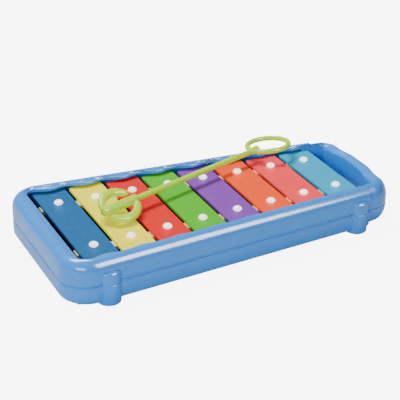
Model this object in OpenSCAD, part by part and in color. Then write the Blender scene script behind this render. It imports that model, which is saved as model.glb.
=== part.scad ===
// Eight-bar toy xylophone: coloured metal bars in a two-part blue case with a carrying handle,
// and a loose mallet that lies across the bars. Millimetres, +Z up, +X towards the handle.
// The origin is on the ground under the middle of the case.

/* [Bars] */
// Number of bars, one for each note of the scale
bar_count = 8; // [8:1:8]
// Distance from one bar to the next
bar_pitch = 29; // [28:0.5:34]
// Width of each bar
bar_w = 26; // [22:0.5:26.5]
// Thickness of the metal
bar_t = 2; // [1.5:0.1:3]
// Length of the longest bar
bar_l1 = 121; // [100:0.5:124]
// Corner radius of the bars
bar_corner = 1.6; // [0.5:0.1:3]
// Rise that a struck bar can make before it meets its pins
bar_float = 0.4; // [0.2:0.1:0.6]

/* [Pins and cushions] */
// Half distance between the two pins of the longest bar
pin_half_wide = 35.2; // [32:0.1:38]
// Half distance between the two pins of the shortest bar
pin_half_narrow = 24.4; // [22:0.1:28]
// Diameter of the domed pin head
pin_head_d = 6.7; // [6:0.1:9]
// Height of the domed pin head
pin_head_h = 2.6; // [2:0.1:4]
// Diameter of the pin shank
pin_d = 3.7; // [3:0.1:4]
// How much larger the hole in a bar is than the pin
bar_hole_play = 1.1; // [0.6:0.1:1.6]
// Width of the cushion strips
cushion_w = 8; // [6:0.5:10]
// Thickness of the cushion strips
cushion_t = 3; // [2:0.1:4]

/* [Case] */
// Width of the case at the low-note end
case_w_wide = 139.5; // [136:0.5:170]
// Width of the case at the handle end
case_w_narrow = 95.8; // [93:0.1:120]
// From the middle of the longest bar to the end of the case
end_left = 31.5; // [29:0.5:38]
// From the middle of the shortest bar to the outside of the handle
end_right = 42; // [40:0.5:55]
// Height of the lower shell above the feet's soles
lower_h = 15.4; // [14.5:0.1:20]
// Height of the feet's soles below the lower shell
foot_h = 1; // [0.5:0.1:3]
// Wall of both shells
wall = 2.5; // [1.8:0.1:3]
// Rounding of the rim's outer edge, across
rim_r = 8; // [6:0.1:9]
// Rounding of the rim's outer edge, downwards
rim_drop = 9; // [6:0.1:12]
// Rounding of the lower shell's bottom edge
base_r = 6; // [3.5:0.1:8]
// Radius of the two corners at the low-note end
corner_left = 22; // [20:0.5:30]
// Height of the rim's crest above the pin heads
crest_over_pins = 2.1; // [1:0.1:6]
// Drop from the crest to the lip around the bars
lip_drop = 1.4; // [0.5:0.1:2]
// Depth of the scallops in the lip
scallop = 3; // [0:0.1:4]
// Width of the rim at the low-note end
rim_left = 12.9; // [11:0.1:15]
// Width of the rim at a scallop's cusp, beside the longest bar
rim_side_wide = 9.5; // [8:0.1:12]
// Width of the rim at a scallop's cusp, beside the shortest bar
rim_side_narrow = 7.1; // [6.5:0.1:10]

/* [Handle] */
// From the middle of the shortest bar to the collar where the handle starts
collar_offset = 16.3; // [15.8:0.1:18]
// How far the handle's skin is let in from the collar
collar_step = 0.8; // [0.3:0.1:1.5]
// Thickness of the grip, front to back
grip_t = 13.5; // [12:0.1:18]
// How far the grip and the arms stay above the lower shell's underside
grip_raise = 0.6; // [0:0.1:2]
// Rounding of the handle's outer edges, across
grip_r = 9; // [7:0.1:10]
// Rounding of the handle's upper outer edge, downwards
grip_round_up = 14; // [8:0.1:16]
// Rounding of the handle's lower outer edge, upwards
grip_round_down = 12; // [8:0.1:14]
// Radius that the grip bows outward on
grip_bow = 220; // [160:5:400]
// Radius of the two outer corners of the handle
corner_right = 20; // [16:0.5:24]
// Radius of the two inner corners of the hand hold
corner_hold = 8; // [6:0.5:10]

/* [Feet and fasteners] */
// Radius of the round corner posts that end in feet
post_r = 8.7; // [8:0.1:10]
// How far the posts stand out from the side walls
post_out = 3.5; // [2:0.1:4]
// Height of the posts above the joint of the shells
post_rise = 11; // [8:0.1:12]
// Diameter of the case screws
screw_d = 3; // [2.6:0.1:3.2]
// Depth of the recess for a screw head
recess_h = 8; // [5:0.1:9]

/* [Mallet] */
// Diameter of the mallet's stick
stick_d = 4.5; // [4:0.1:5]
// From the middle of the head to the middle of the finger loop
mallet_l = 156; // [150:1:165]
// Outer radius of the open ring that makes the head
head_r = 16.2; // [14:0.1:18]
// Width of the head's arms
head_arm_w = 6.6; // [5:0.1:8]
// Thickness of the head's arms
head_arm_t = 5.4; // [4:0.1:6]
// Radius of the finger loop's centre line
loop_r = 16.5; // [14:0.1:18]
// Diameter of the finger loop's wire
loop_d = 4; // [3:0.1:4.5]
// Turn of the stick about the vertical
mallet_turn = 18; // [16:0.5:20]

/* [Hidden] */
$fn = 64;

case_blue = "#6ba3d8";
pale_yellow = "#e6dd9a";
lime = "#cfe22c";

// Clearances
rest_gap = 0.05;
head_gap = bar_float + 0.3;
tray_gap = 0.6;
press = 0.05;
bore_gap = 0.05;
mallet_gap = bar_float + 0.2;

// Notes: a bar's length falls with the square root of its pitch
semitones = [0, 2, 4, 5, 7, 9, 11, 12];
grid_half = bar_pitch * (bar_count - 1) / 2;
case_l = end_left + 2 * grid_half + end_right;
x_left = -case_l / 2;
x_right = case_l / 2;
grid_x = x_left + end_left + grid_half;
function bar_x(i) = grid_x - grid_half + i * bar_pitch;
function bar_l(i) = bar_l1 * pow(2, -semitones[i] / 24);
function pin_y(x) = pin_half_wide
    + (pin_half_narrow - pin_half_wide) * (x - bar_x(0)) / (2 * grid_half);

// Heights above the ground
z_base = foot_h;
z_joint = z_base + lower_h;
deck_t = 2;
rail_t = 5.5;
rail_w = 10;
z_deck = z_joint + 0.5;
z_rail = z_deck + deck_t + rail_t;
z_bar = z_rail + cushion_t + rest_gap;
z_bar_top = z_bar + bar_t;
z_pin_top = z_bar_top + head_gap + pin_head_h;
z_crest = z_pin_top + crest_over_pins;
z_lip = z_crest - lip_drop;
lip_t = wall;

z_grip = z_base + grip_raise;

// Plan of the case: two sides that taper towards the handle
taper = atan((case_w_wide - case_w_narrow) / 2 / case_l);
function side_y(x) = case_w_wide / 2 - (x - x_left) * tan(taper);
x_collar = bar_x(bar_count - 1) + collar_offset;
x_lip_left = x_left + rim_left;
lip_reach = 15;

// Middle of a corner that is tangent to the left end and a side
left_cx = x_left + corner_left;
left_cy = side_y(left_cx) - corner_left / cos(taper);

// Middle and direction of a corner that lies ds in from the side and db in from the bowed grip
bow_x = x_right + collar_step - grip_bow;
function side_in(ds) = side_y(bow_x) - ds / cos(taper);
function bow_in(ds, db) = pow(grip_bow - db, 2) - pow(side_in(ds) * cos(taper), 2);
function corner_dx(ds, db) = side_in(ds) * sin(taper) * cos(taper) + cos(taper) * sqrt(bow_in(ds, db));
function corner_at(ds, db) = [bow_x + corner_dx(ds, db), side_in(ds) - corner_dx(ds, db) * tan(taper)];
function corner_turn(ds, db) = atan2(corner_at(ds, db)[1], corner_dx(ds, db));
right_c = corner_at(corner_right, corner_right);
bow_angle = corner_turn(corner_right, corner_right);

// Cross wall between the bars' well and the hand hold
cross_t = wall;
x_cross = bar_x(bar_count - 1) + bar_w / 2 - 6;
z_under_bars = z_bar - 0.9;
z_cross = z_under_bars - 3.5;

// Feet and their screws
post_xs = [bar_x(0), x_collar - 9.5];
function post_y(x) = side_y(x) - post_r + post_out;
cross_half = post_y(x_cross) - post_r - 0.5;
screw_head_r = 2.8;
screw_head_h = 1.8;
recess_r = 3.7;
screw_tip = z_under_bars - 1.2;
grip_screw_side = 9.9;
grip_screw_end = 10.6;
grip_screw_tip = z_joint + 10;

// Screws that hold the tray
tray_screw_d = 2.6;
tray_screw_x = 2.5 * bar_pitch;
tray_screw_y = 12;
tray_post_r = 4;
tray_screw_l = 10;
socket_r = 3.8;
socket_h = 6;
pin_l = z_bar_top + head_gap - z_deck + socket_h - 0.5;

// Mallet: it lies level, and the lower edge of its head is just above the second bar
head_tilt = 23;
loop_tilt = 8;
sleeve_r = 3.6;
mallet_x = bar_x(0) + 1.155 * bar_pitch;
mallet_y = -2.5;
mallet_z = z_bar_top + mallet_gap + head_r * sin(head_tilt) + head_arm_t / 2 * cos(head_tilt);
hub_r = 3.2;
hub_in = 3;
open_angle = 25;

// ---------- profiles, as [distance in from the side, height] ----------

arc_step = 15;
function arc_pts(cx, cz, rx, rz, a0, a1) = [
    for (a = [a0 : (a1 > a0 ? arc_step : -arc_step) : a1]) [cx + rx * cos(a), cz + rz * sin(a)]
];

// Skin of the upper shell, let in from the side by d0 and down from the crest by half of that
function rim_profile(d0, r, rz) = let (z = z_crest - rz - d0 / 2) concat(
    [[d0, z_joint]],
    arc_pts(r + d0, z, r, rz, 180, 90),
    [[lip_reach, z_lip - d0 / 2], [lip_reach, z_lip - lip_t - d0 / 2]],
    arc_pts(r + d0, z, r - wall, rz - wall, 90, 180),
    [[wall + d0, z_joint]]
);

// Skin of the lower shell, let in from the side by d0, its underside at z0
function base_profile(d0, z0, r, rz) = concat(
    [[wall + d0, z_joint]],
    arc_pts(r + d0, z0 + rz, r - wall, rz - wall, 180, 270),
    [[lip_reach, z0 + wall], [lip_reach, z0]],
    arc_pts(r + d0, z0 + rz, r, rz, 270, 180),
    [[d0, z_joint]]
);

// ---------- the loop of the case's outline ----------

// A stop on the outline is [x, y, outward x, outward y, 0 on the body or 1 on the handle]
function stop_at(c, r, a, part) = [c[0] + r * cos(a), c[1] + r * sin(a), cos(a), sin(a), part];
function side_stop(x, part) = [x, side_y(x), sin(taper), cos(taper), part];
function turn(a0, a1, i, n) = a0 + (a1 - a0) * i / n;
left_n = 8;
right_n = 6;
bow_n = 4;
collar_run = 0.4;

far_stops = concat(
    [for (i = [0 : left_n]) stop_at([left_cx, left_cy], corner_left, turn(180, 90 - taper, i, left_n), 0)],
    [side_stop(x_collar, 0), side_stop(x_collar + collar_run, 1)],
    [for (i = [0 : right_n]) stop_at(right_c, corner_right, turn(90 - taper, bow_angle, i, right_n), 1)],
    [for (i = [1 : bow_n - 1]) stop_at([bow_x, 0], grip_bow, turn(bow_angle, 0, i, bow_n), 1)]
);
near_stops = [
    for (i = [len(far_stops) - 1 : -1 : 0])
        [far_stops[i][0], -far_stops[i][1], far_stops[i][2], -far_stops[i][3], far_stops[i][4]]
];
stops = concat(far_stops, [stop_at([bow_x, 0], grip_bow, 0, 1)], near_stops);

// The skin swept round the whole outline, with one profile on the body and one on the handle
module round_case(body_profile, handle_profile) {
    m = len(body_profile);
    n = len(stops);
    points = [
        for (s = stops, j = [0 : m - 1])
            let (q = s[4] == 0 ? body_profile[j] : handle_profile[j])
                [s[0] - q[0] * s[2], s[1] - q[0] * s[3], q[1]]
    ];
    faces = [
        for (i = [0 : n - 1], j = [0 : m - 1], half = [0, 1])
            let (a = i * m + j, b = i * m + (j + 1) % m)
            let (c = ((i + 1) % n) * m + (j + 1) % m, d = ((i + 1) % n) * m + j)
                half == 0 ? [a, c, b] : [a, d, c]
    ];
    polyhedron(points, faces);
}

// Plan of the inside of the case, set in from the outside by d, up to x1
module inside_plan(d, x1) {
    far = concat(
        [for (i = [0 : left_n]) let (a = turn(180, 90 - taper, i, left_n))
            [left_cx + (corner_left - d) * cos(a), left_cy + (corner_left - d) * sin(a)]],
        [[x1, side_y(x1) - d / cos(taper)]]
    );
    polygon(concat(far, [for (i = [len(far) - 1 : -1 : 0]) [far[i][0], -far[i][1]]]));
}

// The scalloped opening over the bars: a lobe over each bar, a cusp over each gap
lip_steps = 8;
function lip_rim(x) = rim_side_wide
    + (rim_side_narrow - rim_side_wide) * (x - bar_x(0)) / (2 * grid_half);
function lip_y(x) = side_y(x) - lip_rim(x)
    - scallop * (1 - cos(360 * (x - bar_x(0) + bar_pitch / 2) / bar_pitch)) / 2;
lip_start = bar_x(0) - bar_pitch / 2;
lip_end = bar_x(bar_count - 1) + bar_pitch / 2;
well_corner = 5;

module well_plan() {
    far_edge = concat(
        [[x_lip_left, lip_y(lip_start) - well_corner]],
        [for (i = [0 : lip_steps * bar_count])
            let (x = lip_start + i * bar_pitch / lip_steps) [max(x, x_lip_left + well_corner / 2), lip_y(x)]],
        [[x_collar + 1, lip_y(lip_end)]]
    );
    near_edge = [for (i = [len(far_edge) - 1 : -1 : 0]) [far_edge[i][0], -far_edge[i][1]]];
    polygon(concat(far_edge, near_edge));
}

// Plan of the hand hold, made larger all round by d
x_hold = x_cross + cross_t;
arm_in = lip_rim(lip_end);
hold_ds = arm_in + corner_hold;
hold_db = collar_step + grip_t + corner_hold;
hold_c = corner_at(hold_ds, hold_db);
hold_turn = corner_turn(hold_ds, hold_db);

function hold_side(d) = concat(
    [[x_hold - d, side_y(x_hold - d) - (arm_in - d) / cos(taper)]],
    [for (i = [0 : 6]) let (a = 90 - taper - i * (90 - taper - hold_turn) / 6)
        [hold_c[0] + (corner_hold + d) * cos(a), hold_c[1] + (corner_hold + d) * sin(a)]]
);

module hold_plan(d) {
    far = hold_side(d);
    bow_r = grip_bow - hold_db + corner_hold + d;
    bow = [for (i = [1 : 7]) let (a = hold_turn - i * hold_turn / 4) [bow_x + bow_r * cos(a), bow_r * sin(a)]];
    near = [for (i = [len(far) - 1 : -1 : 0]) [far[i][0], -far[i][1]]];
    polygon(concat(far, bow, near));
}

// ---------- case ----------

module at_posts() {
    for (x = post_xs, side = [-1, 1])
        translate([x, side * post_y(x), 0]) children();
}

grip_screw_c = corner_at(grip_screw_side, grip_screw_end);
module at_grip_screws() {
    for (side = [-1, 1])
        translate([grip_screw_c[0], side * grip_screw_c[1], 0])
            children();
}

// A post with a domed top above the joint of the shells
module domed_post() {
    dome_h = 3.5;
    dome = [for (a = [0 : arc_step : 90]) [post_r * cos(a), z_joint + post_rise - dome_h + dome_h * sin(a)]];
    rotate_extrude() polygon(concat([[0, z_joint], [post_r, z_joint]], dome));
}

// The wall round the hand hold, from z0 to z1
module hold_wall(z0, z1) {
    translate([0, 0, z0]) linear_extrude(z1 - z0) difference() {
        hold_plan(wall);
        hold_plan(0);
    }
}

z_upper_fill = z_lip - lip_t;
z_lower_fill = z_grip + wall - 0.15;

module upper_shell() color(case_blue) {
    difference() {
        union() {
            difference() {
                round_case(rim_profile(0, rim_r, rim_drop), rim_profile(collar_step, grip_r, grip_round_up));
                translate([0, 0, z_lip - lip_t - 3]) linear_extrude(lip_t + 10) {
                    well_plan();
                    hold_plan(0);
                }
            }
            difference() {
                at_posts() domed_post();
                translate([0, 0, z_under_bars])
                    linear_extrude(post_rise + 10) inside_plan(wall, x_collar);
            }
            difference() {
                hold_wall(z_joint, z_upper_fill);
                translate([x_hold - 20, -post_y(0), z_joint - 1]) cube([20, 2 * post_y(0), z_lip]);
            }
            at_grip_screws() translate([0, 0, z_joint]) cylinder(r = 4, h = z_upper_fill - z_joint);
        }
        at_posts() translate([0, 0, z_joint - 1])
            cylinder(d = screw_d - 2 * press, h = screw_tip + 0.4 - z_joint + 1);
        at_grip_screws() translate([0, 0, z_joint - 1])
            cylinder(d = screw_d - 2 * press, h = grip_screw_tip + 0.4 - z_joint + 1);
    }
}

module lower_shell() color(case_blue) {
    difference() {
        union() {
            difference() {
                union() {
                    round_case(
                        base_profile(0, z_base, base_r, base_r),
                        base_profile(collar_step, z_grip, grip_r, grip_round_down)
                    );
                    translate([0, 0, z_base]) linear_extrude(wall) inside_plan(base_r + 1, x_hold);
                }
                translate([0, 0, z_base - 1]) linear_extrude(wall + 3) hold_plan(0);
            }
            hold_wall(z_lower_fill, z_joint);
            translate([x_cross, -post_y(x_cross), z_base + 1])
                cube([cross_t, 2 * post_y(x_cross), z_joint - z_base - 1]);
            translate([x_cross, -cross_half, z_base + 1])
                cube([cross_t, 2 * cross_half, z_cross - z_base - 1]);
            at_posts() cylinder(r = post_r, h = z_joint);
            at_grip_screws() translate([0, 0, z_lower_fill]) cylinder(r = recess_r + 0.9, h = z_joint - z_lower_fill);
            for (x = [-1, 1], y = [-1, 1])
                translate([grid_x + x * tray_screw_x, y * tray_screw_y, z_base + wall / 2])
                    cylinder(r = tray_post_r, h = z_deck - z_base - wall / 2);
        }
        at_posts() {
            translate([0, 0, -1]) cylinder(r = recess_r, h = recess_h + 1);
            cylinder(d = screw_d + 0.4, h = z_joint + 1);
        }
        at_grip_screws() {
            translate([0, 0, -1]) cylinder(r = recess_r, h = recess_h + 1);
            cylinder(d = screw_d + 0.4, h = z_joint + 1);
        }
        for (x = [-1, 1], y = [-1, 1])
            translate([grid_x + x * tray_screw_x, y * tray_screw_y, z_deck + deck_t - tray_screw_l - 0.5])
                cylinder(d = tray_screw_d - 2 * press, h = tray_screw_l);
    }
}

// ---------- bed of the bars ----------

// A strip of width w under one row of pins: side is 1 for the rear row and -1 for the front
module pin_row_strip(side, w) {
    x0 = bar_x(0) - bar_w / 2 - 1;
    x1 = bar_x(bar_count - 1) + bar_w / 2 - 1;
    polygon([
        [x0, side * pin_y(x0) - w / 2], [x1, side * pin_y(x1) - w / 2],
        [x1, side * pin_y(x1) + w / 2], [x0, side * pin_y(x0) + w / 2]
    ]);
}

module at_pins(side) {
    for (i = [0 : bar_count - 1])
        translate([bar_x(i), side * pin_y(bar_x(i)), 0]) children();
}

module resonator_tray() color("#141517") difference() {
    union() {
        translate([0, 0, z_deck])
            linear_extrude(deck_t) inside_plan(wall + tray_gap, x_cross - tray_gap);
        for (side = [-1, 1]) {
            intersection() {
                translate([0, 0, z_deck]) linear_extrude(deck_t + rail_t) pin_row_strip(side, rail_w);
                translate([0, 0, z_deck - 1]) linear_extrude(20) inside_plan(wall + tray_gap, x_cross - tray_gap);
            }
            at_pins(side) translate([0, 0, z_deck - socket_h])
                cylinder(r = min(socket_r, x_cross - tray_gap - bar_x(bar_count - 1)), h = socket_h + deck_t / 2);
        }
    }
    for (side = [-1, 1])
        at_pins(side) translate([0, 0, z_deck - socket_h - 1])
            cylinder(d = pin_d - 2 * press, h = socket_h + 20);
    at_posts() cylinder(r = post_r + 0.4, h = 60);
    for (x = [-1, 1], y = [-1, 1])
        translate([grid_x + x * tray_screw_x, y * tray_screw_y, 0])
            cylinder(d = tray_screw_d + 0.4, h = 60);
}

module cushion(side) {
    difference() {
        translate([0, 0, z_rail]) linear_extrude(cushion_t) intersection() {
            pin_row_strip(side, cushion_w);
            inside_plan(wall + tray_gap, x_cross - tray_gap);
        }
        at_pins(side) translate([0, 0, z_rail - 1]) cylinder(d = pin_d + 0.4, h = cushion_t + 2);
    }
}

module rear_cushion() color(pale_yellow) cushion(1);
module front_cushion() color(pale_yellow) cushion(-1);

// ---------- bars and pins ----------

module rounded_plan(w, l, r) {
    square([w - 2 * r, l], center = true);
    square([w, l - 2 * r], center = true);
    for (x = [-1, 1], y = [-1, 1])
        translate([x * (w / 2 - r), y * (l / 2 - r)]) circle(r = r, $fn = 32);
}

module bar(i) {
    translate([bar_x(i), 0, z_bar]) difference() {
        linear_extrude(bar_t) rounded_plan(bar_w, bar_l(i), bar_corner);
        for (side = [-1, 1])
            translate([0, side * pin_y(bar_x(i)), -1])
                cylinder(d = pin_d + bar_hole_play, h = bar_t + 2);
    }
}

module bar_c_blue() color("#1f86bd") bar(0);
module bar_d_yellow() color("#fff000") bar(1);
module bar_e_red() color("#ee3a28") bar(2);
module bar_f_green() color("#7cc828") bar(3);
module bar_g_purple() color("#a578be") bar(4);
module bar_a_orange() color("#f57814") bar(5);
module bar_b_salmon() color("#f57878") bar(6);
module bar_high_c_cyan() color("#1ebed7") bar(7);

// A domed pin, pushed through a bar and its cushion into the tray
module pin() {
    z_under = z_bar_top + head_gap;
    edge_h = 0.6;
    dome = [
        for (a = [0 : arc_step : 90])
            [pin_head_d / 2 * cos(a), z_under + edge_h + (pin_head_h - edge_h) * sin(a)]
    ];
    rotate_extrude() polygon(concat(
        [[0, z_under - pin_l], [pin_d / 2, z_under - pin_l], [pin_d / 2, z_under], [pin_head_d / 2, z_under]],
        dome
    ));
}

module rear_pins() color("#f7f7f2") at_pins(1) pin();
module front_pins() color("#f7f7f2") at_pins(-1) pin();

// ---------- screws ----------

// A pan-head screw, its head down, from the head's seat at z0 up to the tip at z1
module screw_up(z0, z1) {
    translate([0, 0, z0 - screw_head_h]) difference() {
        cylinder(r = screw_head_r, h = screw_head_h);
        for (turn = [0, 90]) rotate([0, 0, turn]) translate([0, 0, 0.4])
            cube([3.2, 0.8, 1.2], center = true);
    }
    translate([0, 0, z0 - 0.2]) cylinder(d = screw_d, h = z1 - z0 + 0.2);
}

module case_screws() color("#b9bcc0") {
    at_posts() screw_up(recess_h, screw_tip);
    at_grip_screws() screw_up(recess_h, grip_screw_tip);
}

module tray_screws() color("#b9bcc0") {
    z_seat = z_deck + deck_t;
    for (x = [-1, 1], y = [-1, 1])
        translate([grid_x + x * tray_screw_x, y * tray_screw_y, 0]) {
            translate([0, 0, z_seat]) cylinder(r = 2.5, h = 1.6);
            translate([0, 0, z_seat - tray_screw_l]) cylinder(d = tray_screw_d, h = tray_screw_l + 0.2);
        }
}

// ---------- mallet ----------

module on_mallet() {
    translate([mallet_x, mallet_y, mallet_z]) rotate([0, 0, mallet_turn]) children();
}

module along_stick(x0, x1, r) {
    translate([x0, 0, 0]) rotate([0, 90, 0]) cylinder(r = r, h = x1 - x0);
}

hub_x = mallet_l - loop_r + hub_in;

module mallet_stick() color(lime) on_mallet() along_stick(-head_r, hub_x + 1, stick_d / 2);

module head_arm() {
    r = 2;
    rotate([0, 0, open_angle])
        rotate_extrude(angle = 180 - open_angle)
            translate([head_r - head_arm_w / 2, 0]) rounded_plan(head_arm_w, head_arm_t, r);
}

module mallet_head() color(lime) on_mallet() difference() {
    union() {
        along_stick(-head_r, head_r, sleeve_r);
        rotate([head_tilt, 0, 0]) for (turn = [0, 180]) rotate([0, 0, turn]) head_arm();
    }
    along_stick(-head_r - 1, head_r + 1, stick_d / 2 + bore_gap);
}

module mallet_loop() color(lime) on_mallet() difference() {
    union() {
        translate([mallet_l, 0, 0]) rotate([-loop_tilt, 0, 0])
            rotate_extrude() translate([loop_r, 0]) circle(d = loop_d, $fn = 32);
        translate([hub_x, 0, 0]) sphere(r = hub_r, $fn = 48);
        along_stick(hub_x - 6, hub_x, hub_r);
    }
    along_stick(hub_x - 7, hub_x + 1 + bore_gap, stick_d / 2 + bore_gap);
}

upper_shell();
lower_shell();
resonator_tray();
rear_cushion();
front_cushion();
bar_c_blue();
bar_d_yellow();
bar_e_red();
bar_f_green();
bar_g_purple();
bar_a_orange();
bar_b_salmon();
bar_high_c_cyan();
rear_pins();
front_pins();
case_screws();
tray_screws();
mallet_stick();
mallet_head();
mallet_loop();
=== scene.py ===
import bpy
import bmesh
import math
from mathutils import Matrix, Vector


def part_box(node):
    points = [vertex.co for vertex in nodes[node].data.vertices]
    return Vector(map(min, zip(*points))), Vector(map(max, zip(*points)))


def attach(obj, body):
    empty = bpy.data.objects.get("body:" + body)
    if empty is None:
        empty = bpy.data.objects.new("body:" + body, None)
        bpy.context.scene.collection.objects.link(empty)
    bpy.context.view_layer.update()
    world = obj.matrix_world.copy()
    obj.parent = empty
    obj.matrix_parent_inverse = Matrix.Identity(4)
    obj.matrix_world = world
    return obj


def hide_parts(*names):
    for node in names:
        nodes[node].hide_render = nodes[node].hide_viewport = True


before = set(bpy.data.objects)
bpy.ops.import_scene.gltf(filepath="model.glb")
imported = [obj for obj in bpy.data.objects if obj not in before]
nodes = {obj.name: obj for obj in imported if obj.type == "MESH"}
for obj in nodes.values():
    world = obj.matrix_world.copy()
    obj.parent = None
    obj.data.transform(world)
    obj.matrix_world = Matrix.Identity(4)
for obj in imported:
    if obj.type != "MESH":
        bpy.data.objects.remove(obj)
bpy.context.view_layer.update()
mm = 0.001
print("frame loaded:", len(nodes), "nodes")

# The case as it was drawn, in millimetres
case = {
    "barX0": -106.75, "pitch": 29.0, "barW": 26.0, "bars": 8,
    "xLeft": -138.25, "xRight": 138.25, "wide": 139.5, "narrow": 95.8,
    "zBase": 1.0, "zJoint": 16.4, "zCrest": 34.85, "zLip": 33.45, "lipT": 2.5,
    "rimR": 8.0, "rimDrop": 9.0, "baseR": 6.0, "gripR": 9.0, "gripUp": 14.0, "gripDown": 12.0,
    "zGrip": 1.6, "wall": 2.5, "cornerLeft": 22.0, "cornerRight": 20.0, "cornerHold": 8.0,
    "rimLeft": 12.9, "rimWide": 9.5, "rimNarrow": 7.1, "scallop": 3.0,
    "collarOffset": 16.3, "collarStep": 0.8, "gripT": 13.5, "gripBow": 220.0,
    "postR": 8.7, "postOut": 3.5, "postBack": 9.5, "postTop": 27.4, "postRound": 3.5, "postSink": 26.3,
    "recessR": 3.7, "recessH": 8.0, "footRound": 1.2, "seam": 0.26, "zCross": 23.05, "wellCorner": 7.0,
    "swell": 2.6, "swellFrom": 9.0, "swellFull": 27.0, "swellEnd": 34.0, "swellX": (118.0, 124.0),
}
tanTaper = (case["wide"] - case["narrow"]) / 2 / (case["xRight"] - case["xLeft"])
taper = math.atan(tanTaper)
barXLast = case["barX0"] + case["pitch"] * (case["bars"] - 1)
xCollar = barXLast + case["collarOffset"]
xHold = barXLast + case["barW"] / 2 - 6 + case["wall"]


def sideY(x):
    return case["wide"] / 2 - (x - case["xLeft"]) * tanTaper


def smoothStep(lo, hi, value):
    t = min(max((value - lo) / (hi - lo), 0.0), 1.0)
    return t * t * (3 - 2 * t)


def linkMesh(name, bm, smooth=True):
    mesh = bpy.data.meshes.new(name)
    bmesh.ops.recalc_face_normals(bm, faces=bm.faces)
    bm.to_mesh(mesh)
    bm.free()
    mesh.polygons.foreach_set("use_smooth", [smooth] * len(mesh.polygons))
    piece = bpy.data.objects.new(name, mesh)
    bpy.context.collection.objects.link(piece)
    return piece


def addBevel(piece, width, segments=3, angle=35):
    bevel = piece.modifiers.new("softEdge", "BEVEL")
    bevel.width = width * mm
    bevel.segments = segments
    bevel.limit_method = "ANGLE"
    bevel.angle_limit = math.radians(angle)
    bevel.harden_normals = True
    return bevel


# camera and light

camera = {"azimuth": -26.19, "elevation": 27.0, "roll": 0.66, "distance": 948.3, "lens": 114.5}
camera["target"] = (-9.9, -5.2, 30.9)


def makeCamera(settings):
    az = math.radians(settings["azimuth"])
    el = math.radians(settings["elevation"])
    back = Vector((math.sin(az) * math.cos(el), -math.cos(az) * math.cos(el), math.sin(el)))
    target = Vector(settings["target"]) * mm
    data = bpy.data.cameras.new("studioCamera")
    data.lens = settings["lens"]
    data.sensor_width = 36
    data.clip_start = 0.05
    data.clip_end = 20
    eye = bpy.data.objects.new("studioCamera", data)
    bpy.context.collection.objects.link(eye)
    eye.location = target + back * settings["distance"] * mm
    right = (-back).cross(Vector((0, 0, 1))).normalized()
    up = right.cross(-back)
    roll = math.radians(settings["roll"])
    rolledRight = right * math.cos(roll) + up * math.sin(roll)
    rolledUp = up * math.cos(roll) - right * math.sin(roll)
    turn = Matrix((rolledRight, rolledUp, back)).transposed()
    eye.rotation_mode = "QUATERNION"
    eye.rotation_quaternion = turn.to_quaternion()
    bpy.context.scene.camera = eye


studio = {
    "key": {"at": (-0.15, 0.50, 1.05), "size": (0.7, 0.3), "watts": 16.0},
    "fill": {"at": (-0.85, -0.80, 0.55), "size": (0.7, 0.3), "watts": 9.0},
    "side": {"at": (0.34, -0.60, 0.62), "size": (0.50, 0.50), "watts": 22.0, "glossOnly": True},
    "world": 0.37, "floor": (0.6, 0.6, 0.6),
}


def makeLight(name, settings):
    data = bpy.data.lights.new(name, "AREA")
    data.shape = "RECTANGLE"
    data.size = settings["size"][0]
    data.size_y = settings["size"][1]
    data.energy = settings["watts"]
    lamp = bpy.data.objects.new(name, data)
    bpy.context.collection.objects.link(lamp)
    lamp.location = settings["at"]
    lamp.visible_diffuse = not settings.get("glossOnly", False)
    aim = Vector((0, 0, 0.02)) - Vector(settings["at"])
    lamp.rotation_mode = "QUATERNION"
    lamp.rotation_quaternion = aim.to_track_quat("-Z", "Y")


def makeStudio(settings):
    for name in ("key", "fill", "side"):
        makeLight(name + "Light", settings[name])
    world = bpy.data.worlds.new("paleRoom")
    bpy.context.scene.world = world
    world.use_nodes = True
    world.node_tree.nodes["Background"].inputs["Color"].default_value = (1, 1, 1, 1)
    world.node_tree.nodes["Background"].inputs["Strength"].default_value = settings["world"]
    bm = bmesh.new()
    corners = [bm.verts.new((x, y, 0)) for x, y in ((-4, -4), (4, -4), (4, 4), (-4, 4))]
    bm.faces.new(corners)
    floor = linkMesh("paleFloor", bm, False)
    floor.data.materials.append(makeFloorPaint(settings["floor"]))


# shader groups shared by the finishes

def newGroup(name, inputs, outputs):
    tree = bpy.data.node_groups.new(name, "ShaderNodeTree")
    for label, kind, value in inputs:
        socket = tree.interface.new_socket(label, in_out="INPUT", socket_type=kind)
        socket.default_value = value
    for label, kind in outputs:
        tree.interface.new_socket(label, in_out="OUTPUT", socket_type=kind)
    return tree, tree.nodes.new("NodeGroupInput"), tree.nodes.new("NodeGroupOutput")


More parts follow.
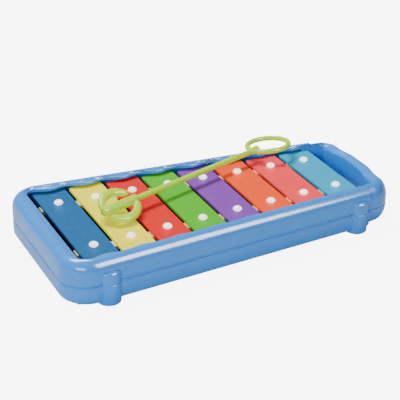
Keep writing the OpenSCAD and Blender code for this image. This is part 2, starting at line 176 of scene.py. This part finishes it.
def makeMouldedGrain():
    # fine surface texture and slow colour drift of a moulded or sprayed skin
    tree, into, out = newGroup(
        "mouldedGrain",
        [("Base", "NodeSocketColor", (1, 1, 1, 1)), ("Deep", "NodeSocketColor", (0.5, 0.5, 0.5, 1)),
         ("Drift", "NodeSocketFloat", 0.3), ("Fine Scale", "NodeSocketFloat", 900.0),
         ("Rough Low", "NodeSocketFloat", 0.2), ("Rough High", "NodeSocketFloat", 0.35)],
        [("Color", "NodeSocketColor"), ("Roughness", "NodeSocketFloat"), ("Height", "NodeSocketFloat")],
    )
    link = tree.links.new
    place = tree.nodes.new("ShaderNodeTexCoord")
    slow = tree.nodes.new("ShaderNodeTexNoise")
    slow.inputs["Scale"].default_value = 28
    slow.inputs["Detail"].default_value = 3
    fine = tree.nodes.new("ShaderNodeTexNoise")
    fine.inputs["Detail"].default_value = 2
    link(place.outputs["Object"], slow.inputs["Vector"])
    link(place.outputs["Object"], fine.inputs["Vector"])
    link(into.outputs["Fine Scale"], fine.inputs["Scale"])
    amount = tree.nodes.new("ShaderNodeMath")
    amount.operation = "MULTIPLY"
    link(slow.outputs["Fac"], amount.inputs[0])
    link(into.outputs["Drift"], amount.inputs[1])
    mix = tree.nodes.new("ShaderNodeMix")
    mix.data_type = "RGBA"
    link(amount.outputs[0], mix.inputs["Factor"])
    link(into.outputs["Base"], mix.inputs["A"])
    link(into.outputs["Deep"], mix.inputs["B"])
    link(mix.outputs["Result"], out.inputs["Color"])
    spread = tree.nodes.new("ShaderNodeMapRange")
    spread.inputs["From Min"].default_value = 0.3
    spread.inputs["From Max"].default_value = 0.7
    link(slow.outputs["Fac"], spread.inputs["Value"])
    link(into.outputs["Rough Low"], spread.inputs["To Min"])
    link(into.outputs["Rough High"], spread.inputs["To Max"])
    link(spread.outputs["Result"], out.inputs["Roughness"])
    link(fine.outputs["Fac"], out.inputs["Height"])
    return tree


def makeEdgeWear():
    # rubbed, slightly paler edges, broken up by noise
    tree, into, out = newGroup(
        "edgeWear",
        [("Color", "NodeSocketColor", (1, 1, 1, 1)), ("Worn", "NodeSocketColor", (1, 1, 1, 1)),
         ("Amount", "NodeSocketFloat", 0.4), ("Start", "NodeSocketFloat", 0.52)],
        [("Color", "NodeSocketColor"), ("Mask", "NodeSocketFloat")],
    )
    link = tree.links.new
    shape = tree.nodes.new("ShaderNodeNewGeometry")
    place = tree.nodes.new("ShaderNodeTexCoord")
    patches = tree.nodes.new("ShaderNodeTexNoise")
    patches.inputs["Scale"].default_value = 160
    patches.inputs["Detail"].default_value = 4
    link(place.outputs["Object"], patches.inputs["Vector"])
    edge = tree.nodes.new("ShaderNodeMapRange")
    edge.inputs["From Max"].default_value = 0.62
    link(into.outputs["Start"], edge.inputs["From Min"])
    link(shape.outputs["Pointiness"], edge.inputs["Value"])
    broken = tree.nodes.new("ShaderNodeMath")
    broken.operation = "MULTIPLY"
    link(edge.outputs["Result"], broken.inputs[0])
    link(patches.outputs["Fac"], broken.inputs[1])
    scaled = tree.nodes.new("ShaderNodeMath")
    scaled.operation = "MULTIPLY"
    scaled.use_clamp = True
    link(broken.outputs[0], scaled.inputs[0])
    link(into.outputs["Amount"], scaled.inputs[1])
    mix = tree.nodes.new("ShaderNodeMix")
    mix.data_type = "RGBA"
    link(scaled.outputs[0], mix.inputs["Factor"])
    link(into.outputs["Color"], mix.inputs["A"])
    link(into.outputs["Worn"], mix.inputs["B"])
    link(mix.outputs["Result"], out.inputs["Color"])
    link(scaled.outputs[0], out.inputs["Mask"])
    return tree


mouldedGrain = makeMouldedGrain()
edgeWear = makeEdgeWear()


def linear(r, g, b):
    # a screen colour from 0 to 255 as a linear one
    def one(c):
        c = c / 255
        return c / 12.92 if c <= 0.04045 else ((c + 0.055) / 1.055) ** 2.4
    return (one(r), one(g), one(b), 1)


def makeFinish(name, look):
    material = bpy.data.materials.new(name)
    material.use_nodes = True
    tree = material.node_tree
    shader = tree.nodes["Principled BSDF"]
    grain = tree.nodes.new("ShaderNodeGroup")
    grain.node_tree = mouldedGrain
    grain.inputs["Base"].default_value = look["base"]
    grain.inputs["Deep"].default_value = look["deep"]
    grain.inputs["Drift"].default_value = look.get("drift", 0.25)
    grain.inputs["Fine Scale"].default_value = look.get("fineScale", 900)
    grain.inputs["Rough Low"].default_value = look["rough"][0]
    grain.inputs["Rough High"].default_value = look["rough"][1]
    wear = tree.nodes.new("ShaderNodeGroup")
    wear.node_tree = edgeWear
    wear.inputs["Worn"].default_value = look.get("worn", look["base"])
    wear.inputs["Amount"].default_value = look.get("wear", 0.3)
    bump = tree.nodes.new("ShaderNodeBump")
    bump.inputs["Strength"].default_value = look.get("bump", 0.05)
    bump.inputs["Distance"].default_value = look.get("bumpDepth", 0.0002)
    tree.links.new(grain.outputs["Color"], wear.inputs["Color"])
    tree.links.new(wear.outputs["Color"], shader.inputs["Base Color"])
    tree.links.new(grain.outputs["Roughness"], shader.inputs["Roughness"])
    tree.links.new(grain.outputs["Height"], bump.inputs["Height"])
    tree.links.new(bump.outputs["Normal"], shader.inputs["Normal"])
    shader.inputs["Metallic"].default_value = look.get("metallic", 0)
    shader.inputs["Coat Weight"].default_value = look.get("coat", 0)
    shader.inputs["Coat Roughness"].default_value = look.get("coatRough", 0.08)
    shader.inputs["IOR"].default_value = look.get("ior", 1.48)
    shader.inputs["Subsurface Weight"].default_value = look.get("glow", 0)
    shader.inputs["Subsurface Radius"].default_value = look.get("glowReach", (1, 1, 1))
    shader.inputs["Subsurface Scale"].default_value = look.get("glowScale", 0.002)
    shader.inputs["Specular IOR Level"].default_value = look.get("shine", 0.5)
    # painted glow: the finish gives off its own base colour as light, at the strength set by the look's
    # inner entry, so the part brightens though it is no lamp
    shader.inputs["Emission Color"].default_value = look["base"]
    shader.inputs["Emission Strength"].default_value = look.get("inner", 0)
    return material


def makeFloorPaint(colour):
    # the floor reads as bright paper to the eye without lighting the piece from below
    look = {"base": (*colour, 1), "deep": (*colour, 1), "rough": (0.85, 0.9), "bump": 0.0, "wear": 0}
    material = makeFinish("paleFloorPaint", look)
    tree = material.node_tree
    seen = tree.nodes.new("ShaderNodeLightPath")
    mix = tree.nodes.new("ShaderNodeMix")
    mix.data_type = "RGBA"
    mix.inputs["A"].default_value = (0, 0, 0, 1)
    mix.inputs["B"].default_value = (1, 1, 1, 1)
    tree.links.new(seen.outputs["Is Camera Ray"], mix.inputs["Factor"])
    shader = tree.nodes["Principled BSDF"]
    tree.links.new(mix.outputs["Result"], shader.inputs["Emission Color"])
    shader.inputs["Emission Strength"].default_value = 7.0
    return material


def paint(piece, material):
    if len(piece.material_slots) == 0:
        piece.data.materials.append(material)
    for place in piece.material_slots:
        place.link = "OBJECT"
        place.material = material


makeCamera(camera)
makeStudio(studio)
print("camera and studio ready")

# case: two smooth skins lofted round the outline

def arcPoints(cx, cy, r, a0, a1, count):
    turns = [math.radians(a0 + (a1 - a0) * i / count) for i in range(count + 1)]
    return [(cx + r * math.cos(a), cy + r * math.sin(a), math.cos(a), math.sin(a)) for a in turns]


def cornerAt(ds, db):
    # middle of a corner that lies ds in from the side and db in from the bowed grip
    bowX = case["xRight"] + case["collarStep"] - case["gripBow"]
    s = sideY(bowX) - ds / math.cos(taper)
    reach = case["gripBow"] - db
    inside = reach * reach - (s * math.cos(taper)) ** 2
    dx = s * math.sin(taper) * math.cos(taper) + math.cos(taper) * math.sqrt(inside)
    y = s - dx * tanTaper
    return bowX + dx, y, math.degrees(math.atan2(y, dx))


def lipY(x):
    along = (x - case["barX0"]) / (barXLast - case["barX0"])
    rim = case["rimWide"] + (case["rimNarrow"] - case["rimWide"]) * along
    phase = 2 * math.pi * (x - case["barX0"] + case["pitch"] / 2) / case["pitch"]
    lobe = (1 - math.cos(phase)) / 2
    fade = 1 - smoothStep(barXLast + case["pitch"] / 2 - 0.5, barXLast + case["pitch"] / 2, x)
    return sideY(x) - rim - case["scallop"] * lobe * fade


def swellAt(y):
    # how far the grip's outline moves from an even bow: in beside the palm, out across it
    if abs(y) >= case["swellEnd"]:
        return 0
    sag = y * y / (2 * case["gripBow"])
    return sag - case["swell"] * smoothStep(case["swellFrom"], case["swellFull"], abs(y))


def makeStops():
    # a stop: outer point, outward normal, inner edge point, handle (0 to 1), wall of the hand hold (0 to 1)
    left, steps = case["cornerLeft"], 20
    cx = case["xLeft"] + left
    cy = sideY(cx) - left / math.cos(taper)
    edgeX = case["xLeft"] + case["rimLeft"]
    edgeR = case["wellCorner"]
    lipStart = case["barX0"] - case["pitch"] / 2
    edgeTop = lipY(edgeX + edgeR)
    stops = []
    endCount = 6
    for i in range(endCount):
        y = cy * i / endCount
        stops.append((case["xLeft"], y, -1, 0, edgeX, (edgeTop - edgeR) * i / endCount, 0, 0))
    outer = arcPoints(cx, cy, left, 180, 90 - math.degrees(taper), steps)
    inner = arcPoints(edgeX + edgeR, edgeTop - edgeR, edgeR, 180, 90, steps)
    for o, n in zip(outer, inner):
        stops.append((*o, n[0], n[1], 0, 0))
    nx, ny = math.sin(taper), math.cos(taper)
    x0 = stops[-1][0]
    count = 150
    catchUp = 12  # length over which the inner edge draws level with the outer one
    edgeFull = edgeX + edgeR + catchUp
    for i in range(1, count + 1):
        x = x0 + (xCollar - 0.5 - x0) * i / count
        if x > edgeFull:
            innerX = x
        else:
            innerX = edgeX + edgeR + (x - x0) * catchUp / max(edgeFull - x0, 1)
        hold = smoothStep(xHold - 1, xHold + 1, x)
        stops.append((x, sideY(x), nx, ny, innerX, lipY(max(innerX, lipStart)), 0, hold))
    for shift, part in ((-0.15, 0.0), (0.0, 0.25), (0.1, 0.8), (0.3, 1.0), (0.8, 1.0)):
        x = xCollar + shift
        stops.append((x, sideY(x), nx, ny, x, lipY(x), part, 1))
    rx, ry, bowAngle = cornerAt(case["cornerRight"], case["cornerRight"])
    ds = case["rimNarrow"] + case["cornerHold"]
    db = case["collarStep"] + case["gripT"] + case["cornerHold"]
    hx, hy, holdTurn = cornerAt(ds, db)
    outer = arcPoints(rx, ry, case["cornerRight"], 90 - math.degrees(taper), bowAngle, 22)
    inner = arcPoints(hx, hy, case["cornerHold"], 90 - math.degrees(taper), holdTurn, 22)
    last = stops[-1]
    firstOut, firstIn = outer[0], inner[0]
    for i in range(1, 4):
        t = i / 4
        x = last[0] + (firstOut[0] - last[0]) * t
        xi = last[4] + (firstIn[0] - last[4]) * t
        yi = last[5] + (firstIn[1] - last[5]) * t
        stops.append((x, sideY(x), nx, ny, xi, yi, 1, 1))
    for o, n in zip(outer, inner):
        stops.append((*o, n[0], n[1], 1, 1))
    bowX = case["xRight"] + case["collarStep"] - case["gripBow"]
    outer = arcPoints(bowX, 0, case["gripBow"], bowAngle, 0, 24)
    innerR = case["gripBow"] - case["collarStep"] - case["gripT"]
    inner = arcPoints(bowX, 0, innerR, holdTurn, 0, 24)
    for o, n in list(zip(outer, inner))[1:]:
        stops.append((*o, n[0], n[1], 1, 1))
    near = [(s[0], -s[1], s[2], -s[3], s[4], -s[5], s[6], s[7]) for s in stops[1:-1]]
    return stops + near[::-1]


def jointGroove(start, inward, inset, way):
    # the shells meet in a shallow groove; way is 1 above the joint and -1 below it
    z, seam = case["zJoint"], case["seam"]
    return [
        (start + inward * (inset + 1.6), z + 0.02 * way),
        (start + inward * (inset + 0.9), z + 0.02 * way),
        (start + inward * (inset + 0.85), z + seam * way),
        (start + inward * (inset + 0.04), z + seam * way),
        (start + inward * inset, z + (seam + 0.04) * way),
    ]


def roundedEdge(start, inward, inset, r, zEnd, rz, way):
    # a quarter of an ellipse, from the side wall to the crest or to the underside
    points = []
    for i in range(11):
        a = math.pi / 2 * i / 10
        points.append((start + inward * (inset + r - r * math.cos(a)), zEnd + way * rz * (math.sin(a) - 1)))
    return points


def handleRound(body, handle, part):
    return case[body] + (case[handle] - case[body]) * part


def bulged(ring, part):
    # only the handle's stretch of the outline is moved
    moved = []
    for p, z in ring:
        shift = swellAt(p[1]) * smoothStep(*case["swellX"], p[0]) if part > 0.5 else 0
        moved.append((p[0] + shift, p[1], z))
    return moved


def upperRing(stop):
    x, y, nx, ny, ix, iy, part, hold = stop
    inset = case["collarStep"] * part
    drop = inset / 2
    r = handleRound("rimR", "gripR", part)
    rz = handleRound("rimDrop", "gripUp", part)
    zTop = case["zCrest"] - drop
    start = Vector((x, y))
    inward = Vector((-nx, -ny))
    edge = Vector((ix, iy))
    ring = jointGroove(start, inward, inset, 1)
    for t in (0.35, 0.7):
        ring.append((start + inward * inset, case["zJoint"] + (zTop - rz - case["zJoint"]) * t))
    ring += roundedEdge(start, inward, inset, r, zTop, rz, 1)
    crest = start + inward * (inset + r)
    room = edge - crest
    wide = room.length
    zEdge = case["zLip"] - drop + (zTop - case["zLip"]) * (0.25 - 0.25 * min(wide / 8, 1))
    roundR = 0.9 + 3.7 * part * smoothStep(4, 8, wide) + 0.6 * hold * (1 - part)
    roundR = min(roundR, max(wide * 0.8, 0.9))
    direction = room.normalized() if wide > 0.01 else inward
    flatEnd = edge - direction * roundR
    for t in (0.3, 0.6, 0.85):
        ring.append((crest + (flatEnd - crest) * t, zTop + (zEdge - zTop) * smoothStep(0, 1, t)))
    for i in range(7):
        a = math.pi / 2 * i / 6
        ring.append((flatEnd + direction * roundR * math.sin(a), zEdge - roundR + roundR * math.cos(a)))
    zLipUnder = zEdge - case["lipT"]
    depthEnd = zLipUnder + (case["zJoint"] + 0.05 - zLipUnder) * hold
    zStart = zEdge - roundR
    for t in (0.4, 0.85, 1.0):
        ring.append((edge, zStart + (depthEnd - zStart) * t))
    ring.append((edge - direction * min(1.5, wide * 0.5 + 0.8), depthEnd))
    return bulged(ring, part)


def lowerRing(stop):
    x, y, nx, ny, ix, iy, part, hold = stop
    inset = case["collarStep"] * part
    r = handleRound("baseR", "gripR", part)
    rz = handleRound("baseR", "gripDown", part)
    zLow = handleRound("zBase", "zGrip", part)
    start = Vector((x, y))
    inward = Vector((-nx, -ny))
    edge = Vector((ix, iy))
    ring = jointGroove(start, inward, inset, -1)
    for t in (0.4, 0.8):
        ring.append((start + inward * inset, case["zJoint"] + (zLow + rz - case["zJoint"]) * t))
    ring += roundedEdge(start, inward, inset, r, zLow, rz, -1)
    low = start + inward * (inset + r)
    room = edge - low
    wide = room.length
    roundR = min(0.9 + 3.1 * part, max(wide * 0.8, 0.6))
    direction = room.normalized() if wide > 0.01 else inward
    flatEnd = edge - direction * roundR
    ring.append((low + (flatEnd - low) * 0.5, zLow))
    for i in range(6):
        a = math.pi / 2 * i / 5
        ring.append((flatEnd + direction * roundR * math.sin(a), zLow + roundR - roundR * math.cos(a)))
    rise = zLow + case["wall"] + (case["zJoint"] - 0.05 - zLow - case["wall"]) * hold
    for t in (0.5, 1.0):
        ring.append((edge, zLow + roundR + (rise - zLow - roundR) * t))
    ring.append((edge - direction * min(1.5, wide * 0.5 + 0.8), rise))
    return bulged(ring, part)


def loftLoop(bm, rings, closed=True):
    made = [[bm.verts.new(Vector(p) * mm) for p in ring] for ring in rings]
    count = len(made)
    for i in range(count if closed else count - 1):
        a, b = made[i], made[(i + 1) % count]
        for j in range(len(a) - 1):
            bm.faces.new((a[j], a[j + 1], b[j + 1], b[j]))
    return made


def revolve(bm, profile, cx, cy, count=40, keep=None):
    # profile is a list of (radius, height), from one end to the other
    rings = []
    for i in range(count):
        a = 2 * math.pi * i / count
        ring = []
        for r, z in profile:
            p = (cx + r * math.cos(a), cy + r * math.sin(a), z)
            ring.append(keep(p) if keep else p)
        rings.append(ring)
    loftLoop(bm, rings)


def postPlaces():
    xs = (case["barX0"], xCollar - case["postBack"])
    return [(x, s * (sideY(x) - case["postR"] + case["postOut"])) for x in xs for s in (-1, 1)]


def holdBack(p):
    # inside the wall, the dome of a post stays below the lip
    d = (sideY(p[0]) - abs(p[1])) * math.cos(taper)
    return (p[0], p[1], min(p[2], case["postSink"])) if d > 1.2 else p


def makeUpperCase():
    bm = bmesh.new()
    loftLoop(bm, [upperRing(s) for s in makeStops()])
    r, top, soft = case["postR"], case["postTop"], case["postRound"]
    dome = [(r, case["zJoint"] + 0.05), (r, 18), (r, 21), (r, top - soft)]
    for degrees in range(9, 90, 9):
        a = math.radians(degrees)
        dome.append((r * math.cos(a), top - soft + soft * math.sin(a)))
    dome.append((0.01, top))
    for x, y in postPlaces():
        revolve(bm, dome, x, y, 64, holdBack)
    return linkMesh("upperCase", bm)


def makeLowerCase():
    bm = bmesh.new()
    loftLoop(bm, [lowerRing(s) for s in makeStops()])
    r, bore, soft = case["postR"], case["recessR"], case["footRound"]
    foot = [(1.8, case["recessH"]), (bore, case["recessH"]), (bore, 0.4), (bore + 0.4, 0), (r - soft, 0)]
    for degrees in (30, 60, 90):
        a = math.radians(degrees)
        foot.append((r - soft + soft * math.sin(a), soft - soft * math.cos(a)))
    foot += [(r, 6), (r, 12), (r, case["zJoint"] - 0.5)]
    foot += [(r - 0.3, case["zJoint"] - 0.05), (1.8, case["zJoint"] - 0.05)]
    for x, y in postPlaces():
        revolve(bm, foot, x, y, 64)
    return linkMesh("lowerCase", bm)


def makeFloorPlate():
    # the lower shell's floor and its low wall beside the hand hold
    bm = bmesh.new()
    x0, x1 = case["xLeft"] + 9, xHold
    z0, z1 = case["zBase"] + 0.02, case["zBase"] + case["wall"]
    slabs = [
        ((x0, z0), (x1, z1), 8.5),
        ((x1 - case["wall"], z0 + 1), (x1, case["zJoint"] - 0.05), 6.5),
        ((x1 - case["wall"], case["zJoint"] - 0.1), (x1, case["zCross"]), 14.5),
    ]
    for low, high, inset in slabs:
        ring = []
        for z in (low[1], high[1]):
            plan = [(low[0], -sideY(low[0]) + inset), (high[0], -sideY(high[0]) + inset)]
            plan += [(p[0], -p[1]) for p in plan[::-1]]
            ring.append([bm.verts.new(Vector((p[0], p[1], z)) * mm) for p in plan])
        bm.faces.new(ring[0])
        bm.faces.new(ring[1][::-1])
        for i in range(4):
            j = (i + 1) % 4
            bm.faces.new((ring[0][i], ring[0][j], ring[1][j], ring[1][i]))
    piece = linkMesh("caseFloor", bm, False)
    addBevel(piece, 0.4, 2)
    return piece


caseLook = {
    "base": linear(44, 146, 240), "deep": linear(34, 138, 234), "worn": linear(100, 180, 248),
    "rough": (0.2, 0.27), "bump": 0.02, "wear": 0.06, "coat": 0.45, "coatRough": 0.1, "drift": 0.3,
}
casePlastic = makeFinish("bluePlastic", caseLook)
upperCase = makeUpperCase()
lowerCase = makeLowerCase()
caseFloor = makeFloorPlate()
for piece in (upperCase, lowerCase, caseFloor):
    paint(piece, casePlastic)
    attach(piece, "case")
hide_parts("upper_shell")
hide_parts("lower_shell")
print("case built")

# bed: black tray, two cushion strips

bedLook = {
    "tray": {
        "base": (0.003, 0.003, 0.004, 1), "deep": (0.006, 0.006, 0.007, 1), "worn": (0.02, 0.02, 0.022, 1),
        "rough": (0.6, 0.8), "shine": 0.15,
    },
    "cushion": {
        "base": linear(238, 230, 160), "deep": linear(214, 200, 128), "rough": (0.75, 0.9),
        "bump": 0.5, "fineScale": 2600,
    },
}
trayPlastic = makeFinish("blackPlastic", bedLook["tray"])
cushionFoam = makeFinish("paleFoam", bedLook["cushion"])
paint(nodes["resonator_tray"], trayPlastic)
addBevel(nodes["resonator_tray"], 0.25, 2)
for name in ("rear_cushion", "front_cushion"):
    paint(nodes[name], cushionFoam)
    addBevel(nodes[name], 0.5, 3)

# bars

barLook = {
    "bar_c_blue": (0, 92, 150), "bar_d_yellow": (255, 240, 0), "bar_e_red": (226, 0, 0),
    "bar_f_green": (72, 182, 0), "bar_g_purple": (128, 56, 170), "bar_a_orange": (255, 76, 0),
    "bar_b_salmon": (255, 60, 68), "bar_high_c_cyan": (0, 164, 208),
}


def makeBarPaint(name, colour):
    base = linear(*colour)
    deep = tuple(c * 0.85 for c in base[:3]) + (1,)
    pale = tuple(min(1, c * 0.85 + 0.1) for c in base[:3]) + (1,)
    look = {"base": base, "deep": deep, "worn": pale, "rough": (0.34, 0.44), "bump": 0.04}
    look.update({"coat": 0.03, "coatRough": 0.2, "wear": 0.3, "drift": 0.2, "fineScale": 700})
    # inner is a faint painted glow in each bar's own colour, lifting the paint's brightness
    look.update({"shine": 0.1, "inner": 0.06})
    return makeFinish(name, look)


for name, colour in barLook.items():
    paint(nodes[name], makeBarPaint(name + "Paint", colour))
    addBevel(nodes[name], 0.45, 4)
print("bars painted")

# pins

pinLook = {
    "headR": 3.35, "zUnder": 30.15, "headH": 2.6, "shankR": 1.85, "zLow": 11.4, "count": 8,
    "halfWide": 35.2, "halfNarrow": 24.4,
    # the finish's inner entry is a strong painted glow that makes the white pin heads brighter than the
    # lamps light them
    "finish": {"base": linear(248, 248, 244), "deep": linear(232, 232, 224), "rough": (0.2, 0.3),
               "bump": 0.03, "coat": 0.3, "glow": 0.1, "inner": 1.4, "worn": (1, 1, 1, 1)},
}


def pinPlace(i, side):
    half = pinLook["halfWide"] + (pinLook["halfNarrow"] - pinLook["halfWide"]) * i / 7
    return case["barX0"] + case["pitch"] * i, side * half


def makePins(name, side):
    bm = bmesh.new()
    r, z, h, s = pinLook["headR"], pinLook["zUnder"], pinLook["headH"], pinLook["shankR"]
    profile = [(0.01, pinLook["zLow"]), (s - 0.4, pinLook["zLow"]), (s, pinLook["zLow"] + 0.4)]
    profile += [(s, z - 6), (s, z - 0.4), (s + 0.3, z), (r - 0.25, z), (r, z + 0.25), (r, z + 0.5)]
    for a in range(8, 90, 8):
        t = math.radians(a)
        profile.append((r * math.cos(t) ** 0.9, z + 0.5 + (h - 0.5) * math.sin(t)))
    profile.append((0.01, z + h))
    for i in range(pinLook["count"]):
        x, y = pinPlace(i, side)
        revolve(bm, profile, x, y, 36)
    return linkMesh(name, bm)


pinPlastic = makeFinish("whitePlastic", pinLook["finish"])
for name, node, side in (("rearPins", "rear_pins", 1), ("frontPins", "front_pins", -1)):
    pins = makePins(name, side)
    paint(pins, pinPlastic)
    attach(pins, "case")
    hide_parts(node)

# screws

screwLook = {"base": (0.56, 0.57, 0.58, 1), "deep": (0.42, 0.43, 0.45, 1), "rough": (0.25, 0.4),
             "metallic": 1, "bump": 0.1, "worn": (0.8, 0.8, 0.8, 1)}
screwSteel = makeFinish("zincSteel", screwLook)
for name in ("case_screws", "tray_screws"):
    paint(nodes[name], screwSteel)
    addBevel(nodes[name], 0.15, 2)
print("pins and screws built")

# mallet

mallet = {
    "at": (-73.26, -2.5), "turn": 18.0, "stickR": 2.25, "headR": 16.2, "armW": 6.6, "armT": 5.4,
    "sleeveR": 3.6, "tilt": 23.0, "length": 156.0, "loopR": 16.5, "wireR": 2.0, "loopTilt": 8.0,
    "hubR": 3.2, "hubIn": 3.0, "openAngle": 25.0,
    # the finish's inner entry is a painted glow in the lime colour, brightening the thin stick, head and
    # loop
    "finish": {"base": linear(186, 226, 0), "deep": linear(164, 208, 0), "worn": linear(220, 240, 60),
               "rough": (0.18, 0.3), "bump": 0.04, "glow": 0.55, "glowReach": (0.9, 1.0, 0.2),
               "glowScale": 0.003, "coat": 0.2, "inner": 0.22},
}
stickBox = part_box("mallet_stick")
malletZ = (stickBox[0][2] + stickBox[1][2]) / 2 / mm
malletFrame = Matrix.Translation(Vector((mallet["at"][0], mallet["at"][1], malletZ)) * mm)
malletFrame = malletFrame @ Matrix.Rotation(math.radians(mallet["turn"]), 4, "Z")


def tubeAlong(bm, stations, count=28):
    # stations: (centre, side vector, up vector, half width, half height, squareness)
    rings = []
    for centre, side, up, w, h, power in stations:
        ring = []
        for i in range(count):
            a = 2 * math.pi * i / count
            c, s = math.cos(a), math.sin(a)
            px = math.copysign(abs(c) ** power, c) * w
            py = math.copysign(abs(s) ** power, s) * h
            ring.append(bm.verts.new((centre + side * px + up * py) * mm))
        rings.append(ring)
    for a, b in zip(rings, rings[1:]):
        for i in range(count):
            j = (i + 1) % count
            bm.faces.new((a[i], a[j], b[j], b[i]))
    bm.faces.new(rings[0][::-1])
    bm.faces.new(rings[-1])


def rodStations(x0, x1, r, roundR):
    side, up = Vector((0, 1, 0)), Vector((0, 0, 1))
    found = []
    for t in (0.1, 0.35, 0.7, 1.0):
        w = r - roundR * (1 - math.sin(math.pi / 2 * t))
        found.append((Vector((x0 + roundR * (t - 0.1) / 0.9, 0, 0)), side, up, w, w, 1))
    count = 12
    for i in range(1, count):
        found.append((Vector((x0 + roundR + (x1 - x0 - 2 * roundR) * i / count, 0, 0)), side, up, r, r, 1))
    for t in (1.0, 0.7, 0.35, 0.1):
        w = r - roundR * (1 - math.sin(math.pi / 2 * t))
        found.append((Vector((x1 - roundR * (t - 0.1) / 0.9, 0, 0)), side, up, w, w, 1))
    return found


def makeStick():
    bm = bmesh.new()
    end = mallet["length"] - mallet["loopR"] + mallet["hubIn"] + 1
    tubeAlong(bm, rodStations(-mallet["headR"] + 0.05, end, mallet["stickR"], 0.6))
    return linkMesh("malletStick", bm)


def makeHead():
    bm = bmesh.new()
    tubeAlong(bm, rodStations(-mallet["headR"] + 0.15, mallet["headR"] - 0.15, mallet["sleeveR"], 0.9))
    tilt = Matrix.Rotation(math.radians(mallet["tilt"]), 3, "X")
    up = tilt @ Vector((0, 0, 1))
    for flip in (0, 180):
        stations = []
        count = 40
        for i in range(count + 1):
            t = i / count
            a = math.radians(mallet["openAngle"] + (182 - mallet["openAngle"]) * t + flip)
            belly = math.sin(math.pi * (t * 0.86 + 0.07)) ** 0.8
            width = mallet["armW"] * (0.42 + 0.58 * belly)
            tipFade = math.sqrt(max(0.02, 1 - (1 - min(t / 0.07, 1)) ** 2))
            w = width / 2 * tipFade
            h = mallet["armT"] / 2 * (0.8 + 0.2 * math.sin(math.pi * t)) * tipFade
            radial = tilt @ Vector((math.cos(a), math.sin(a), 0))
            stations.append((radial * (mallet["headR"] - 0.05 - w), radial, up, w, h, 0.75))
        tubeAlong(bm, stations)
    return linkMesh("malletHead", bm)


def makeLoop():
    bm = bmesh.new()
    tilt = Matrix.Rotation(-math.radians(mallet["loopTilt"]), 3, "X")
    up = tilt @ Vector((0, 0, 1))
    count, sides = 96, 20
    centre = Vector((mallet["length"], 0, 0))
    rings = []
    for i in range(count):
        a = 2 * math.pi * i / count
        radial = tilt @ Vector((math.cos(a), math.sin(a), 0))
        ring = []
        for k in range(sides):
            b = 2 * math.pi * k / sides
            outward = radial * (mallet["loopR"] + mallet["wireR"] * math.cos(b))
            p = centre + outward + up * mallet["wireR"] * math.sin(b)
            ring.append(bm.verts.new(p * mm))
        rings.append(ring)
    for i in range(count):
        a, b = rings[i], rings[(i + 1) % count]
        for k in range(sides):
            j = (k + 1) % sides
            bm.faces.new((a[k], a[j], b[j], b[k]))
    hub = mallet["length"] - mallet["loopR"] + mallet["hubIn"]
    side, up = Vector((0, 1, 0)), Vector((0, 0, 1))
    stations = []
    for t in range(0, 21):
        u = t / 20
        x = hub - 6 + 8.95 * u
        r = mallet["hubR"] * (0.84 + 0.16 * smoothStep(0.2, 0.7, u))
        r *= math.sqrt(max(0.02, 1 - max(0, (u - 0.67) / 0.33) ** 2))
        r *= 0.9 + 0.1 * min(u / 0.08, 1)
        stations.append((Vector((x, 0, 0)), side, up, r, r, 1))
    tubeAlong(bm, stations)
    return linkMesh("malletLoop", bm)


malletPlastic = makeFinish("limePlastic", mallet["finish"])
for maker, node in ((makeStick, "mallet_stick"), (makeHead, "mallet_head"), (makeLoop, "mallet_loop")):
    piece = maker()
    piece.data.transform(malletFrame)
    paint(piece, malletPlastic)
    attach(piece, "mallet")
    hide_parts(node)
print("mallet built")
